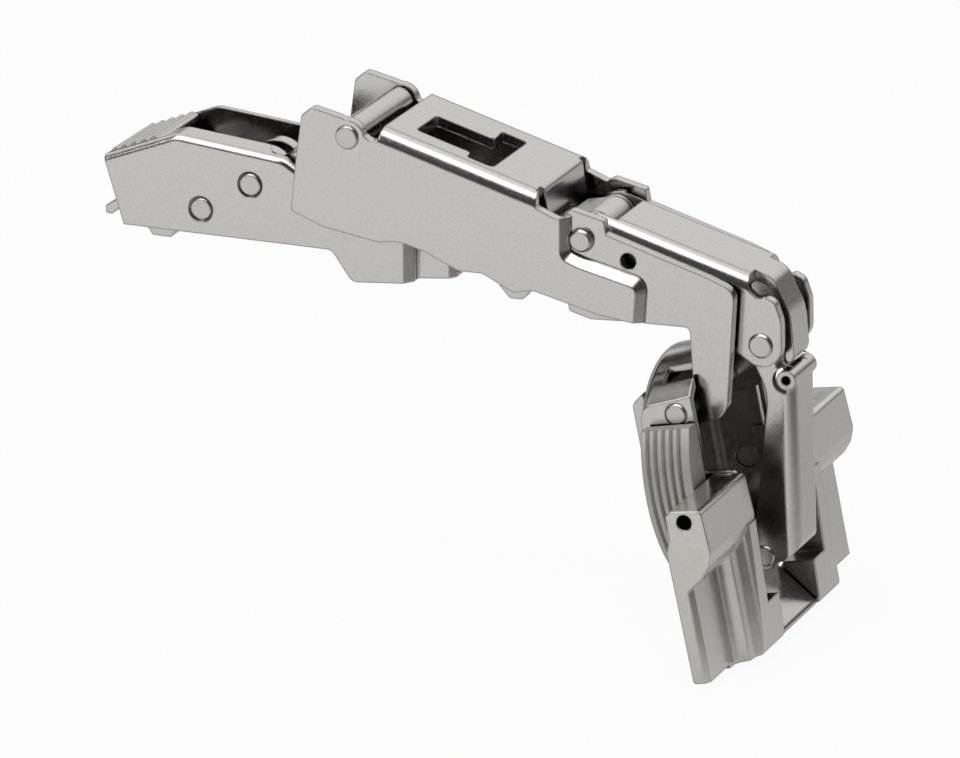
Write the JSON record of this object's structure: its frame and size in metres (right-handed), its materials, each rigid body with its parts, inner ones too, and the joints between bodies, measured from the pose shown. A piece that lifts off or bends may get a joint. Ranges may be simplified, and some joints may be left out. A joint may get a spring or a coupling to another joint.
{
  "type": "concealed cabinet hinge",
  "caption": "Wide-angle concealed hinge: plated arm, two folding arms, a link and a door cup with side jaws and a locking lever.",
  "frame": {"origin": "on the underside of the arm's near wall, in the middle of its thickness, where the arm seats on its mounting plate; the hinge's centre plane is at y = +7.45 mm", "axes": "+X along the arm towards the door, +Y along the hinge pins, +Z out from the cabinet side"},
  "size_m": [0.1041, 0.0568, 0.0695],
  "materials": {
    "plated_steel": "satin nickel plating",
    "cup_steel": "bright nickel plating",
    "pin_steel": "satin",
    "cast_zinc": "satin nickel-plated die-casting",
    "jaw_zinc": "matte zinc"
  },
  "bodies": {
    "arm": {"arm_channel": "plated_steel", "rear_link_pin": "pin_steel", "release_lever_pin": "pin_steel", "hook_pin": "pin_steel", "nose_pin": "pin_steel", "side_adjusting_screw": "pin_steel", "depth_cam": "pin_steel"},
    "release": {"release_lever": "cast_zinc"},
    "rear_strap": {"rear_link": "plated_steel"},
    "outer": {"outer_arm": "plated_steel", "head_pin": "pin_steel", "scissor_pin": "pin_steel", "scissor_sleeve": "pin_steel"},
    "inner": {"inner_arm": "plated_steel", "front_pin": "pin_steel", "inner_arm_studs": "pin_steel"},
    "link": {"cup_link": "plated_steel", "foot_pin": "pin_steel"},
    "cup_body": {"cup": "cup_steel", "cup_arm_pin": "pin_steel", "locking_lever_axle": "pin_steel", "locking_lever": "cast_zinc", "near_jaw": "jaw_zinc", "far_jaw": "jaw_zinc"}
  },
  "joints": [
    {"name": "rear_link_swing", "type": "hinge", "parent": "arm", "child": "rear_strap", "pos_m": [0.011, 0.00745, 0.008], "axis": [0, -1, 0], "range_deg": [0, 85]},
    {"name": "outer_arm_swing", "type": "hinge", "parent": "rear_strap", "child": "outer", "pos_m": [0.0265, 0.00745, 0.0172], "axis": [0, -1, 0], "range_deg": [-79.05, 0]},
    {"name": "inner_arm_swing", "type": "hinge", "parent": "outer", "child": "inner", "pos_m": [0.0606, 0.00745, 0.0061], "axis": [0, -1, 0], "range_deg": [0, 124.92]},
    {"name": "cup_link_swing", "type": "hinge", "parent": "inner", "child": "link", "pos_m": [0.0858, 0.00745, -0.0067], "axis": [0, -1, 0], "range_deg": [-94.6, 0]},
    {"name": "cup_swing", "type": "hinge", "parent": "outer", "child": "cup_body", "pos_m": [0.0757, 0.00745, -0.0161], "axis": [0, -1, 0], "range_deg": [0, 162.25]},
    {"name": "release_lever_swing", "type": "hinge", "parent": "arm", "child": "release", "pos_m": [0.0035, 0.00745, 0.0036], "axis": [0, 1, 0], "range_deg": [0, 7], "stiffness_Nm_per_rad": 0.05, "springref_deg": -11.46}
  ],
  "couplings": [
    {"joint": "outer_arm_swing", "follows": "rear_link_swing", "ratio": -0.92941},
    {"joint": "inner_arm_swing", "follows": "rear_link_swing", "ratio": 1.469},
    {"joint": "cup_link_swing", "follows": "rear_link_swing", "ratio": -1.1124},
    {"joint": "cup_swing", "follows": "rear_link_swing", "ratio": 1.9082}
  ]
}
